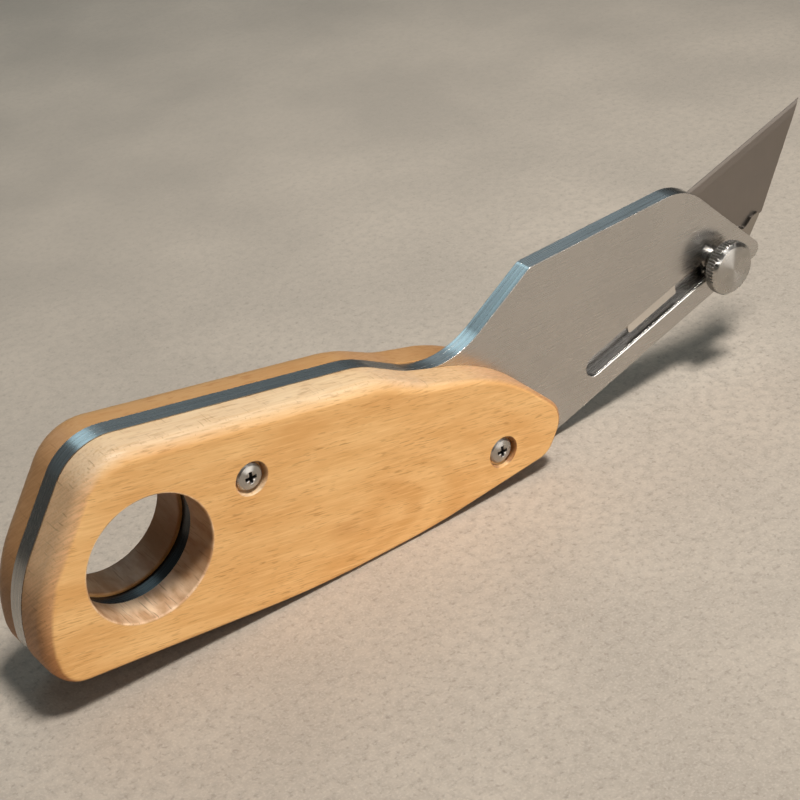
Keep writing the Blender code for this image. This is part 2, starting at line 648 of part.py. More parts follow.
ring_cutter = add_cutter(turned("ring_hole", eased_ends(HOLE_RADIUS, HOLE_EASE, SCALE_OUTER)),
                         TO_NEAR_SIDE, (0.0, 0.0, 0.0), knife)
screw_cutters = [add_cutter(turned(name, screw_hole_profile()), TO_NEAR_SIDE, (x, 0.0, z), knife)
                 for name, x, z in (("rear_screw_hole", REAR_SCREW_X, REAR_SCREW_Z),
                                    ("front_screw_hole", FRONT_SCREW_X, FRONT_SCREW_Z))]
make_scale("near_scale", 1, NEAR_ROUNDOVER, screw_cutters)
make_scale("far_scale", -1, FAR_ROUNDOVER, screw_cutters)
make_plates()
make_screws_and_barrels()
make_blade()
make_carrier()
make_pin_and_nut()
make_thumb_screw()
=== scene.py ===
# %% [markdown]
# # A leather knife with a sliding blade
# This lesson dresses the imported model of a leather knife: beech scales on a laminated steel body,
# a trapezoid blade that slides in a channel, and a knurled thumb screw that clamps it. The packed
# solids have the right shape and place already. What they lack is what light shows: broken edges,
# grain, satin and gloss. So each solid is copied, its edges are finished, and it gets a finish
# made of nodes.

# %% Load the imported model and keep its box
import json
import math

import bmesh
import bpy
from mathutils import Matrix, Vector

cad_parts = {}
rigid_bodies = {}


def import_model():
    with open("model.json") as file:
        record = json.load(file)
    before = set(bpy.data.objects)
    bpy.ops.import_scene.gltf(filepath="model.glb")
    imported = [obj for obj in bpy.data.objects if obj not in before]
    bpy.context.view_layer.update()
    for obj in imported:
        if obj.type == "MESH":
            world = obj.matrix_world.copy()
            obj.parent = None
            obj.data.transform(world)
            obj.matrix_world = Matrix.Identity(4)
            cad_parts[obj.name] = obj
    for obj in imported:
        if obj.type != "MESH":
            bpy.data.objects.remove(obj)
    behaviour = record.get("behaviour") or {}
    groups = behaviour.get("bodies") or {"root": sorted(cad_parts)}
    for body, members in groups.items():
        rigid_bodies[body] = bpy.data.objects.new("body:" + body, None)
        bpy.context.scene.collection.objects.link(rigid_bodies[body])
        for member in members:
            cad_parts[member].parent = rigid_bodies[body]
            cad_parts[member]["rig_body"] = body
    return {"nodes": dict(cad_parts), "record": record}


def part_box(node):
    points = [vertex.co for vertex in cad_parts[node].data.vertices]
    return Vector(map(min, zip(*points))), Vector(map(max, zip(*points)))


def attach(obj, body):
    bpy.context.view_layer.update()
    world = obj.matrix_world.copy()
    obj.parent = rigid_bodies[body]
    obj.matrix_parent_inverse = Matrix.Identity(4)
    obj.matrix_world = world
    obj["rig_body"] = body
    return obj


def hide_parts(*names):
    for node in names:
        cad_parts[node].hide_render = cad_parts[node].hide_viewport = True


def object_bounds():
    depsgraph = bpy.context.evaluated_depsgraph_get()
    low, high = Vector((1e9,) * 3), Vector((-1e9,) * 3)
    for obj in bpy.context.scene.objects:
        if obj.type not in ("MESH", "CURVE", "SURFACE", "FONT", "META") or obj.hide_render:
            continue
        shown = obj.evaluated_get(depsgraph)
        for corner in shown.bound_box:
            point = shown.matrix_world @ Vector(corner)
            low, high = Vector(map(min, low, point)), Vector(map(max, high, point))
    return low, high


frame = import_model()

MM = 0.001
cad_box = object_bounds()
cad_size = [round(c / MM, 1) for c in cad_box[1] - cad_box[0]]
print("solids:", len(frame["nodes"]), "box in mm:", cad_size)

# %% [markdown]
# ## Camera
# The knife is seen from above its butt, on the thumb screw's side, with the blade pointing away to
# the right. A camera can be aimed with a Track To constraint, but its roll is then hard to set.
# Here its place and two of its axes are given outright, and the third follows from a cross product.

# %% Place the camera
camera_place = Vector((-182.08, -241.59, 210.14)) * MM
camera_right = Vector((0.78940, -0.60916, -0.07601))
camera_up = Vector((0.37681, 0.38306, 0.84338))
camera_axes = Matrix((camera_right, camera_up, camera_right.cross(camera_up))).transposed()
camera = bpy.data.objects.new("camera", bpy.data.cameras.new("camera"))
camera.matrix_world = Matrix.Translation(camera_place) @ camera_axes.to_4x4()
camera.data.lens = 81.0
camera.data.sensor_width = 36.0
camera.data.clip_start = 0.01
bpy.context.scene.collection.objects.link(camera)
bpy.context.scene.camera = camera
bpy.context.scene.view_settings.view_transform = "Standard"
looks_down = math.degrees(math.asin(camera_axes.col[2].z))
print("camera looks down by", round(looks_down, 1), "degrees")

# %% [markdown]
# ## A short way to write node trees
# A procedural finish is a chain of nodes, and in Python each node takes several lines. One helper
# adds a node, sets its options, and fills or links its sockets by name or number. The others are
# short names for the nodes that come back again and again, so that a finish reads as a recipe.

# %% Helpers for single nodes
def put(tree, kind, sockets=None, **options):
    """Add a node. A socket's value is linked if it is another node's output, and set otherwise."""
    node = tree.nodes.new(kind)
    for key, value in options.items():
        setattr(node, key, value)
    for key, value in (sockets or {}).items():
        if isinstance(value, bpy.types.NodeSocket):
            tree.links.new(value, node.inputs[key])
        else:
            node.inputs[key].default_value = value
    return node


def maths(tree, operation, *values):
    """A sum, product or other operation on numbers."""
    return put(tree, "ShaderNodeMath", dict(enumerate(values)), operation=operation).outputs[0]


def times(tree, first, second):
    return maths(tree, "MULTIPLY", first, second)


def vector_maths(tree, operation, *values):
    """The same for vectors. A length comes out of a socket of its own."""
    node = put(tree, "ShaderNodeVectorMath", dict(enumerate(values)), operation=operation)
    return node.outputs["Value" if operation == "LENGTH" else "Vector"]


def coordinate(tree, vector, axis):
    """One of a vector's three numbers."""
    return put(tree, "ShaderNodeSeparateXYZ", {0: vector}).outputs[axis]


print("helpers ready: put, maths, times, vector_maths, coordinate")

# %% [markdown]
# Finishes are built from noise, from shares between 0 and 1, and from colours laid over each other
# by such shares. Sizes of the noise are given in millimetres, because a grain or a scratch has a
# real size, and a number without a unit would have to be found by trying.

# %% Helpers for finishes
def new_finish(name):
    """An empty finish: its material, node tree, shader and texture coordinates."""
    material = bpy.data.materials.new(name)
    material.use_nodes = True
    tree = material.node_tree
    shader = tree.nodes["Principled BSDF"]
    return material, tree, shader, put(tree, "ShaderNodeTexCoord")


def speckle(tree, place, size_mm, detail=2.0):
    """Noise whose blobs have about these sizes, in millimetres along each axis."""
    scale = [1 / (s * MM) for s in size_mm]
    stretched = put(tree, "ShaderNodeMapping", {"Vector": place, "Scale": scale}).outputs[0]
    sockets = {"Vector": stretched, "Scale": 1.0, "Detail": detail}
    return put(tree, "ShaderNodeTexNoise", sockets).outputs[0]


def between(tree, value, low, high, to_low=0.0, to_high=1.0):
    """A value stretched so that low and high become the two given ends, and held there."""
    sockets = {0: value, 1: low, 2: high, 3: to_low, 4: to_high}
    return put(tree, "ShaderNodeMapRange", sockets).outputs[0]


def tint(tree, share, first, second, blend="MIX"):
    """Two colours mixed by a share."""
    sockets = {0: share, 6: first, 7: second}
    return put(tree, "ShaderNodeMix", sockets, data_type="RGBA", blend_type=blend).outputs[2]


def layered(tree, colour, layers):
    """A colour with others laid over it in turn, each by its own share."""
    for share, second in layers:
        colour = tint(tree, share, colour, second)
    return colour


def emboss(tree, shader, height, strength, distance, invert=False):
    """A bump for relief that is too fine to model."""
    sockets = {"Strength": strength, "Distance": distance, "Height": height}
    bump = put(tree, "ShaderNodeBump", sockets, invert=invert)
    tree.links.new(bump.outputs[0], shader.inputs["Normal"])


print("helpers ready: new_finish, speckle, between, tint, layered, emboss")

# %% [markdown]
# ## Floor
# The knife stands on a plain warm-grey surface with a fine tooth, like sealed fibre board. Clouds of
# a few centimetres, mottling, and dark flecks keep it from looking like a flat colour. Flecks and
# tooth also go to a bump, because a surface with tooth has no sharp reflections. All but the clouds
# are stronger in front, where the board is worn, and fade towards the back.

# %% Mix the floor's finish
BOARD_DEEP = (0.46, 0.40, 0.335, 1)
BOARD_PALE = (0.55, 0.475, 0.395, 1)
MOTTLE_BROWN = (0.39, 0.335, 0.28, 1)
FLECK_BROWN = (0.25, 0.205, 0.17, 1)
TOOTH_PALE = (0.66, 0.585, 0.50, 1)
FADED_FROM_Y = 180 * MM
floor_finish, tree, shader, coords = new_finish("floor")
place = coords.outputs["Object"]
clouds = speckle(tree, place, (45, 45, 45), 5.0)
mottle = speckle(tree, place, (2.2, 2.2, 2.2), 4.0)
flecks = speckle(tree, place, (1.1, 1.1, 1.1), 3.0)
tooth = speckle(tree, place, (0.5, 0.5, 0.5), 2.0)
wear = between(tree, coordinate(tree, place, "Y"), 0.0, FADED_FROM_Y, 1.0, 0.25)
colour = tint(tree, between(tree, clouds, 0.35, 0.65), BOARD_DEEP, BOARD_PALE)
colour = layered(tree, colour, (
    (times(tree, between(tree, mottle, 0.40, 0.66, 0.0, 0.6), wear), MOTTLE_BROWN),
    (times(tree, between(tree, flecks, 0.57, 0.72, 0.0, 0.4), wear), FLECK_BROWN),
    (times(tree, between(tree, tooth, 0.5, 0.68, 0.0, 0.35), wear), TOOTH_PALE)))
tree.links.new(colour, shader.inputs["Base Color"])
shader.inputs["Roughness"].default_value = 0.85
relief = times(tree, maths(tree, "SUBTRACT", tooth, flecks), wear)
emboss(tree, shader, relief, 0.3, 0.12 * MM)
print("floor finish has", len(tree.nodes), "nodes")

# %% [markdown]
# One big flat sheet makes the floor. It lies a hair below the knife, because two faces in exactly
# the same place flicker between one and the other in a render.

# %% Lay the floor
FLOOR_HALF = 3.0
FLOOR_DROP = 0.05 * MM
shape = bmesh.new()
bmesh.ops.create_grid(shape, x_segments=1, y_segments=1, size=FLOOR_HALF)
bmesh.ops.translate(shape, verts=shape.verts, vec=(0, 0, -FLOOR_DROP))
floor = bpy.data.objects.new("floor", bpy.data.meshes.new("floor"))
shape.to_mesh(floor.data)
shape.free()
floor.data.materials.append(floor_finish)
bpy.context.scene.collection.objects.link(floor)
print("floor is", 2 * FLOOR_HALF, "m wide")

# %% [markdown]
# ## Light
# One small panel high above throws the shadow below the knife, and its narrow spread lets the light
# fall off over the floor. A wide panel that stands on the floor in front lights the wood's face
# without filling that shadow. A weak panel high in front is there for the metal alone: broken edges,
# the slot's chamfer and the turned head mirror it. Behind, a wide dim blue panel tints the steel's
# upper edges, and two small ones show on the crown, the sweep and the brow. Panels are better than
# points here, because metal mirrors their shape. Each call gives a panel's place and target, its
# width and height, its watts and its colour.

# %% Hang the light panels
def light_panel(name, place, target, size, watts, colour):
    """An area light that faces its target."""
    lamp = bpy.data.lights.new(name, "AREA")
    lamp.shape = "RECTANGLE"
    lamp.size, lamp.size_y = size
    lamp.energy = watts
    lamp.color = colour
    panel = bpy.data.objects.new(name, lamp)
    panel.location = place
    aim = Vector(target) - Vector(place)
    panel.rotation_euler = aim.to_track_quat("-Z", "Y").to_euler()
    bpy.context.scene.collection.objects.link(panel)
    return panel


main_panel = light_panel("main_panel", (0.20, -0.34, 1.60), (0.06, -0.07, 0.0),
                         (0.34, 0.34), 1.35, (1.0, 0.965, 0.92))
main_panel.data.spread = math.radians(40)
light_panel("front_panel", (0.45, -1.35, 0.16), (0.0, 0.0, 0.04),
            (1.20, 0.28), 8.7, (1.0, 0.955, 0.90))
light_panel("high_panel", (0.14, -0.60, 0.66), (0.02, 0.0, 0.02),
            (0.30, 0.20), 0.28, (1.0, 0.985, 0.96))
light_panel("back_panel", (0.0, 0.58, 0.64), (0.0, 0.0, 0.02),
            (0.40, 0.30), 0.60, (0.58, 0.87, 1.0))
light_panel("brow_panel", (0.45, 0.62, 0.56), (0.06, 0.0, 0.06),
            (0.40, 0.22), 0.13, (0.70, 0.90, 1.0))
light_panel("cool_wall", (0.15, 0.95, 0.62), (0.15, 0.0, 0.40),
            (2.2, 1.1), 0.8, (0.62, 0.87, 1.0))

# %% [markdown]
# A dim even world light stands for the room. Without it, whatever no panel reaches would be black,
# which no room is.

# %% Fill the room with dim light
ROOM_LIGHT = (0.046, 0.045, 0.041, 1)
world = bpy.data.worlds.new("studio")
bpy.context.scene.world = world
world.use_nodes = True
sky = world.node_tree.nodes["Background"]
sky.inputs["Color"].default_value = ROOM_LIGHT
sky.inputs["Strength"].default_value = 1.0
print("room light:", ROOM_LIGHT[:3])

# %% [markdown]
# ## Beech
# Beech is pale orange-brown with short dark dashes, which are the ends of its rays, and faint wide
# rings that close round an eye. A picture could be wrapped on the faces, but then the grain would
# not meet at the edges. A solid pattern in Object coordinates runs right through the wood.

# %% Grain of the beech
GRAIN_FALL = math.radians(-10.5)
RING_SCALE = (0.42 / MM, 0.45 / MM, 0.85 / MM)


def beech_grain(tree, place, eye_place):
    """Coordinates along the grain, rings that close round an eye, and the distance from that eye."""
    falling = {"Vector": place, "Rotation": (0, GRAIN_FALL, 0)}
    along = put(tree, "ShaderNodeMapping", falling).outputs[0]
    eye = Matrix.Rotation(GRAIN_FALL, 3, "Y") @ Vector(eye_place) * MM
    centred = vector_maths(tree, "SUBTRACT", along, eye)
    drawn = put(tree, "ShaderNodeMapping", {"Vector": centred, "Scale": RING_SCALE}).outputs[0]
    wave = {"Vector": drawn, "Scale": 0.072, "Distortion": 4.0, "Detail": 3.0, "Detail Scale": 0.4}
    rings = put(tree, "ShaderNodeTexWave", wave, wave_type="RINGS", rings_direction="SPHERICAL")
    in_front = between(tree, coordinate(tree, centred, "X"), -4 * MM, 9 * MM, 0.2, 1.0)
    away = vector_maths(tree, "LENGTH", drawn)
    return along, times(tree, rings.outputs[1], in_front), away


print("grain falls forward by", round(-math.degrees(GRAIN_FALL), 1), "degrees")

# %% [markdown]
# On the broad faces the fibres lie in the surface. The base colour changes in blotches. Over it
# come the rings, the eye, brown and golden fibres, and last the dashes, which crowd in some places
# and are rare in others. Noise that is stretched along the grain makes both fibres and dashes.

# %% Colour of the long grain
BEECH_DEEP = (0.82, 0.43, 0.14, 1)
BEECH_PALE = (0.98, 0.60, 0.245, 1)
RING_BROWN = (0.72, 0.34, 0.09, 1)
EYE_BROWN = (0.60, 0.25, 0.055, 1)
FIBRE_BROWN = (0.78, 0.40, 0.12, 1)
FIBRE_GOLD = (1.0, 0.64, 0.275, 1)
DASH_BROWN = (0.54, 0.23, 0.05, 1)


def long_grain(tree, along, rings, away):
    """Colour where fibres lie in the surface, with the dashes and fibres that give it relief."""
    blotches = speckle(tree, along, (22, 10, 6), 3.0)
    crowd = speckle(tree, along, (14, 10, 5), 3.0)
    dashes = speckle(tree, along, (3.0, 0.8, 0.30), 2.0)
    fibres = speckle(tree, along, (9.0, 0.5, 0.40), 3.0)
    pale_fibres = speckle(tree, along, (7.0, 0.45, 0.30), 3.0)
    near_eye = between(tree, away, 4, 16, 1.0, 0.35)
    crowded = between(tree, crowd, 0.35, 0.62, 0.15, 0.65)
    colour = tint(tree, between(tree, blotches, 0.35, 0.68), BEECH_DEEP, BEECH_PALE)
    colour = layered(tree, colour, (
        (times(tree, between(tree, rings, 0.4, 1.0, 0.0, 0.7), near_eye), RING_BROWN),
        (between(tree, away, 0.3, 2.2, 0.6, 0.0), EYE_BROWN),
        (between(tree, fibres, 0.38, 0.7, 0.0, 0.45), FIBRE_BROWN),
        (between(tree, pale_fibres, 0.5, 0.68, 0.0, 0.45), FIBRE_GOLD),
        (times(tree, between(tree, dashes, 0.56, 0.66), crowded), DASH_BROWN)))
    return colour, dashes, fibres


print("recipe ready: long_grain")

# %% [markdown]
# On end grain the fibres are cut across, so streaks there follow the growth rings instead of the
# handle. It also drinks more oil. Low down, near the floor, it is darkened further by painted shade.

# %% Colour of the end grain
END_PALE = (0.90, 0.53, 0.275, 1)
END_BROWN = (0.66, 0.36, 0.165, 1)
END_CRACK = (0.15, 0.065, 0.025, 1)
END_LOW_SHADE = (0.44, 0.25, 0.09, 1)
RING_SLANT = math.radians(-45)


def end_grain(tree, place, cracks):
    """Colour where fibres are cut across, with painted shade low down."""
    slanting = {"Vector": place, "Rotation": (RING_SLANT, 0, 0)}
    across = put(tree, "ShaderNodeMapping", slanting).outputs[0]
    streaks = speckle(tree, across, (3.0, 0.35, 4.0), 4.0)
    colour = tint(tree, between(tree, streaks, 0.35, 0.65), END_PALE, END_BROWN)
    colour = tint(tree, between(tree, cracks, 0.64, 0.76, 0.0, 0.35), colour, END_CRACK)
    # Painted shade: the end grain darkens towards the bottom, near the floor.
    low = between(tree, coordinate(tree, place, "Z"), 10 * MM, 36 * MM, 0.9, 0.0)
    return tint(tree, low, colour, tint(tree, 1.0, colour, END_LOW_SHADE, "MULTIPLY"))


print("recipe ready: end_grain")

# %% [markdown]
# Faces that look up get a painted highlight: they are painted paler, with the same fibres and dashes
# in them.

# %% Colour of the painted highlight on upward faces
HIGHLIGHT_PALE = (0.87, 0.68, 0.46, 1)
HIGHLIGHT_BROWN = (0.68, 0.45, 0.24, 1)
HIGHLIGHT_DASH = (0.42, 0.23, 0.10, 1)
HIGHLIGHT_CRACK = (0.30, 0.15, 0.06, 1)


def top_highlight_colour(tree, dashes, fibres, cracks):
    """Colour of the painted highlight on faces that look up."""
    colour = tint(tree, between(tree, fibres, 0.4, 0.7, 0.0, 0.6), HIGHLIGHT_PALE, HIGHLIGHT_BROWN)
    return layered(tree, colour, (
        (between(tree, dashes, 0.56, 0.72, 0.0, 0.4), HIGHLIGHT_DASH),
        (between(tree, cracks, 0.66, 0.76, 0.0, 0.5), HIGHLIGHT_CRACK)))


print("recipe ready: top_highlight_colour")

# %% [markdown]
# The wall of the ring hole is drilled and stained by fingers, and it gets painted shade where it
# faces forward or back. How far a spot lies from the hole's axis tells whether it is on that wall:
# take the axis away, drop the part along it, and measure what is left. The same three nodes serve
# again for the steel and for the turned screws.

# %% Colour of the ring hole's wall
HOLE_AXIS = (-75.51 * MM, 0, 24.5 * MM)
WALL_TO = 12.7 * MM
FACE_FROM = 13.0 * MM
BORE_PALE = (1.0, 0.71, 0.46, 1)
BORE_BROWN = (0.60, 0.33, 0.165, 1)
BORE_CRACK = (0.24, 0.11, 0.045, 1)
BORE_PAINTED_SHADE = (0.33, 0.16, 0.065, 1)


def from_axis(tree, place, axis):
    """The way out from an axis along Y, as a vector and as a distance."""
    offset = vector_maths(tree, "SUBTRACT", place, axis)
    outwards = vector_maths(tree, "MULTIPLY", offset, (1, 0, 1))
    return outwards, vector_maths(tree, "LENGTH", outwards)


def bore_wall(tree, place, cracks, end_facing):
    """The share of a spot that is on the ring hole's wall, and the wall's colour."""
    reach = from_axis(tree, place, HOLE_AXIS)[1]
    stains = speckle(tree, place, (2.6, 7.0, 2.6), 4.0)
    colour = tint(tree, between(tree, stains, 0.38, 0.62), BORE_PALE, BORE_BROWN)
    colour = layered(tree, colour, (
        (between(tree, cracks, 0.60, 0.72, 0.0, 0.6), BORE_CRACK),
        # Painted shade on the wall where it faces forward or back.
        (between(tree, end_facing, 0.3, 0.8, 0.0, 0.65), BORE_PAINTED_SHADE)))
    return between(tree, reach, WALL_TO, FACE_FROM, 0.9, 0.0), colour


print("ring hole's axis in mm:", [round(c / MM, 2) for c in HOLE_AXIS])

# %% [markdown]
# Which way a spot faces tells these woods apart: the Normal of the Texture Coordinate node is the
# object's own, so it turns with the piece. End grain faces forward or back. Faces that look up get a
# painted highlight, and faces that look down get painted shade. Each kind is laid over the long grain
# by its share.

# %% Mix the two beech finishes
DOWNWARD_PAINTED_SHADE = (0.17, 0.075, 0.022, 1)
WHOLE_PIECE_SHADE = (0.30, 0.125, 0.03, 1)


def beech_finish(name, eye_place, highlight_strength, painted_shade):
    """Oiled beech. The last two numbers set its painted highlight and its painted shade all over."""
    material, tree, shader, coords = new_finish(name)
    place = coords.outputs["Object"]
    upward = coordinate(tree, coords.outputs["Normal"], "Z")
    end_facing = maths(tree, "ABSOLUTE", coordinate(tree, coords.outputs["Normal"], "X"))
    cracks = speckle(tree, place, (0.35, 5.0, 0.35), 1.0)
    colour, dashes, fibres = long_grain(tree, *beech_grain(tree, place, eye_place))
    highlight_by_x = between(tree, coordinate(tree, place, "X"), -35 * MM, 5 * MM, highlight_strength, 0.2 * highlight_strength)
    # Painted highlight: faces that look up are painted paler, more so towards the rear.
    painted_highlight = times(tree, between(tree, upward, 0.25, 0.85), highlight_by_x)
    colour = layered(tree, colour, (
        (between(tree, end_facing, 0.2, 0.42, 0.0, 0.9), end_grain(tree, place, cracks)),
        (painted_highlight, top_highlight_colour(tree, dashes, fibres, cracks)),
        bore_wall(tree, place, cracks, end_facing),
        # Painted shade on faces that look down.
        (between(tree, upward, -0.75, -0.35, 0.85, 0.0), DOWNWARD_PAINTED_SHADE),
        # Painted shade over the whole piece.
        (painted_shade, WHOLE_PIECE_SHADE)))
    tree.links.new(colour, shader.inputs["Base Color"])
    tree.links.new(between(tree, dashes, 0.3, 0.75, 0.42, 0.6), shader.inputs["Roughness"])
    emboss(tree, shader, maths(tree, "ADD", dashes, fibres), 0.15, 0.05 * MM, invert=True)
    return material


near_beech = beech_finish("near_beech", (-35.0, -9.7, 10.6), 0.75, 0.0)
# The far scale's copy has painted shade all over and a weaker painted highlight.
far_beech_shaded = beech_finish("far_beech_shaded", (-20.0, 9.7, 14.0), 0.2, 0.58)
print("beech finished with", len(near_beech.node_tree.nodes), "nodes")

# %% [markdown]
# ## Steel
# Most of the metal is bare or plated sheet and bar, so one recipe serves with different numbers:
# fine lines that run one way from grinding, softer clouds from handling, and a roughness that both
# of them change. On the cut edges the lines run along the rim instead, and are much stronger.

# %% Recipe for ground metal
DULLING = 0.70
RIM_LINE_MM = (16, 0.22, 16)


def ground_metal(name, colour, roughness, line_mm, smudge=0.03):
    """Metal with grinding lines of these sizes along X, Y and Z on its faces."""
    material, tree, shader, coords = new_finish(name)
    place = coords.outputs["Object"]
    face_lines = speckle(tree, place, line_mm, 2.0)
    rim_lines = speckle(tree, place, RIM_LINE_MM, 3.0)
    sideways = maths(tree, "ABSOLUTE", coordinate(tree, coords.outputs["Normal"], "Y"))
    on_face = between(tree, sideways, 0.4, 0.9)
    lines = put(tree, "ShaderNodeMix", {0: on_face, 2: rim_lines, 3: face_lines}).outputs[0]
    contrast = between(tree, on_face, 0.0, 1.0, 0.9, 0.08)
    clouds = speckle(tree, place, (9, 9, 7), 3.0)
    dull = [c * DULLING for c in colour[:3]] + [1]
    shade = layered(tree, colour, (
        (times(tree, between(tree, lines, 0.35, 0.65), contrast), dull),
        (between(tree, clouds, 0.4, 0.7, 0.0, 0.2), dull)))
    tree.links.new(shade, shader.inputs["Base Color"])
    shader.inputs["Metallic"].default_value = 1.0
    streaky = between(tree, lines, 0.3, 0.7, roughness - smudge, roughness + smudge)
    uneven = between(tree, clouds, 0.3, 0.7, -smudge, smudge)
    tree.links.new(maths(tree, "ADD", streaky, uneven), shader.inputs["Roughness"])
    return material, tree, shader, coords, shade


blade_steel = ground_metal("blade_steel", (0.245, 0.22, 0.20, 1), 0.36, (0.10, 10, 10))[0]
zinc_plate = ground_metal("zinc_plate", (0.60, 0.605, 0.61, 1), 0.30, (2.5, 2.5, 2.5))[0]
print("metals:", blade_steel.name, zinc_plate.name)

# %% [markdown]
# The strip that carries the blade is polished by sliding where it runs behind the slot. Its tongue
# in front is out in the open and has gone dull. The darkening starts under the thumb screw's head,
# so it is partly the tongue's own dullness and partly painted shade from the head.

# %% Strip that is bright behind, with painted shade under the head and dull in front
STRIP_BRIGHT = (0.84, 0.82, 0.79, 1)
STRIP_DULL_AND_SHADED = (0.36, 0.335, 0.31, 1)
BRIGHT_TO_X = 68 * MM
DULL_AND_SHADED_FROM_X = 76 * MM
carrier_steel, tree, shader, coords, shade = ground_metal(
    "carrier_steel", STRIP_BRIGHT, 0.15, (10, 10, 0.10))
forward = coordinate(tree, coords.outputs["Object"], "X")
# Painted shade under the thumb screw's head, running into the tongue's own dullness.
dull_and_shaded = between(tree, forward, BRIGHT_TO_X, DULL_AND_SHADED_FROM_X)
tree.links.new(tint(tree, dull_and_shaded, shade, STRIP_DULL_AND_SHADED), shader.inputs["Base Color"])
print("strip turns dull from", round(BRIGHT_TO_X / MM), "to", round(DULL_AND_SHADED_FROM_X / MM), "mm forward")

# %% [markdown]
# Inside the ring hole the plates' cut edges are dark: the plates' finish turns dark within a short
# distance of the hole's axis.

# %% Polished steel that is dark inside the ring hole
SATIN_GREY = (0.555, 0.54, 0.522, 1)
HOLE_DARK = (0.045, 0.043, 0.042, 1)
DARK_TO = 13.8 * MM
UNDARKENED_FROM = 14.6 * MM
satin_steel, tree, shader, coords, shade = ground_metal(
    "satin_steel", SATIN_GREY, 0.27, (14, 14, 0.10), 0.015)
reach = from_axis(tree, coords.outputs["Object"], HOLE_AXIS)[1]
# The finish turns dark close to the ring hole's axis.
outside_hole = between(tree, reach, DARK_TO, UNDARKENED_FROM)
tree.links.new(tint(tree, outside_hole, HOLE_DARK, shade), shader.inputs["Base Color"])
print("plates are dark within", round(DARK_TO / MM, 1), "mm of the ring hole's axis")

# %% [markdown]
# ## Copies of the solids
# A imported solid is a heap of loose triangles. Merging its points and dissolving the flat triangles
# gives whole faces again, with real edges that can be bevelled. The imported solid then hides, and the
# copy stands for it.

# %% Helpers to copy, break the edges of and seat a solid
MERGE_DISTANCE = 0.002 * MM
FLAT_ANGLE = math.radians(0.6)


def solid_copy(node):
    """A CAD solid as a merged mesh with whole flat faces."""
    shape = bmesh.new()
    shape.from_mesh(frame["nodes"][node].data)
    bmesh.ops.remove_doubles(shape, verts=shape.verts, dist=MERGE_DISTANCE)
    bmesh.ops.dissolve_limit(shape, angle_limit=FLAT_ANGLE, verts=shape.verts, edges=shape.edges)
    bmesh.ops.recalc_face_normals(shape, faces=shape.faces)
    return shape


def sharp_edges(shape, least=math.radians(35)):
    """Outward edges that turn by at least this angle."""
    return [e for e in shape.edges if e.is_manifold and e.calc_face_angle_signed() > least]


def break_edges(shape, edges, width, segments=1):
    """Bevel edges, flat with one segment and round with more."""
    bmesh.ops.bevel(shape, geom=edges, offset=width, offset_type="OFFSET", segments=segments,
                    profile=0.5, affect="EDGES", material=-1)


def seat(name, shape, node, finish, crease=math.radians(25)):
    """Turn a finished shape into a piece that stands for a CAD node."""
    mesh = bpy.data.meshes.new(name)
    shape.to_mesh(mesh)
    shape.free()
    mesh.materials.append(finish)
    mesh.shade_smooth()
    mesh.set_sharp_from_angle(angle=crease)
    piece = bpy.data.objects.new(name, mesh)
    bpy.context.scene.collection.objects.link(piece)
    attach(piece, frame["nodes"][node]["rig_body"])
    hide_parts(node)
    print(name, "has", len(mesh.polygons), "faces")
    return piece


# %% [markdown]
# ## Scales
# The two beech scales keep the round-over that the solids have. Their inner edges, next to the
# steel, get a small break, which shows as a fine dark line along the joint. Weighted normals keep
# the big faces flat under smooth shading, where plain smooth normals would bulge.

# %% Dress the scales
SCALE_INNER_BREAK = 0.25 * MM
SAME_PLANE = 0.01 * MM
ROUNDED_CREASE = math.radians(40)


def keep_flat(piece):
    """Weighted normals: big faces stay flat beside their rounded edges."""
    flatten = piece.modifiers.new("flat faces", "WEIGHTED_NORMAL")
    flatten.keep_sharp = True


for name, finish in (("near_scale", near_beech), ("far_scale", far_beech_shaded)):
    shape = solid_copy(name)
    inner = min(abs(v.co.y) for v in shape.verts)
    rim = [e for e in sharp_edges(shape)
           if all(abs(abs(v.co.y) - inner) < SAME_PLANE for v in e.verts)]
    break_edges(shape, rim, SCALE_INNER_BREAK)
    keep_flat(seat(name + "_wood", shape, name, finish, crease=ROUNDED_CREASE))

# %% [markdown]
# ## Steel body
# Three plates make the body. The slot in the near one is found from the frame: it runs along the
# slide's axis through the middle of the thumb screw. An edge belongs to the slot if both its ends
# lie in a box round that line.

# %% Find the slot
SLOT_ASIDE = 3.4 * MM
SLOT_BEHIND = 42 * MM
SLOT_AHEAD = 6 * MM
joints = frame["record"]["behaviour"]["joints"]
slide_axis = Vector(next(j["axis"] for j in joints if j["type"] == "slide"))
up_blade = slide_axis.cross(Vector((0, 1, 0)))
low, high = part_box("thumb_screw")
stud = (low + high) / 2


def beside_slot(spot):
    away = spot - stud
    in_line = abs(away.dot(up_blade)) < SLOT_ASIDE
    return in_line and -SLOT_BEHIND < away.dot(slide_axis) < SLOT_AHEAD


print("stud in mm:", [round(c / MM, 2) for c in stud])

# %% [markdown]
# In front of the wood the plates' outer edges are rounded by about a tenth of a millimetre and catch
# light in thin lines along the sweep. Between the layers a much finer break shows the lamination.
# The mouth of the slot is chamfered, so that the screw's shoulder doesn't scrape, and its lower
# chamfer shines like a strip.

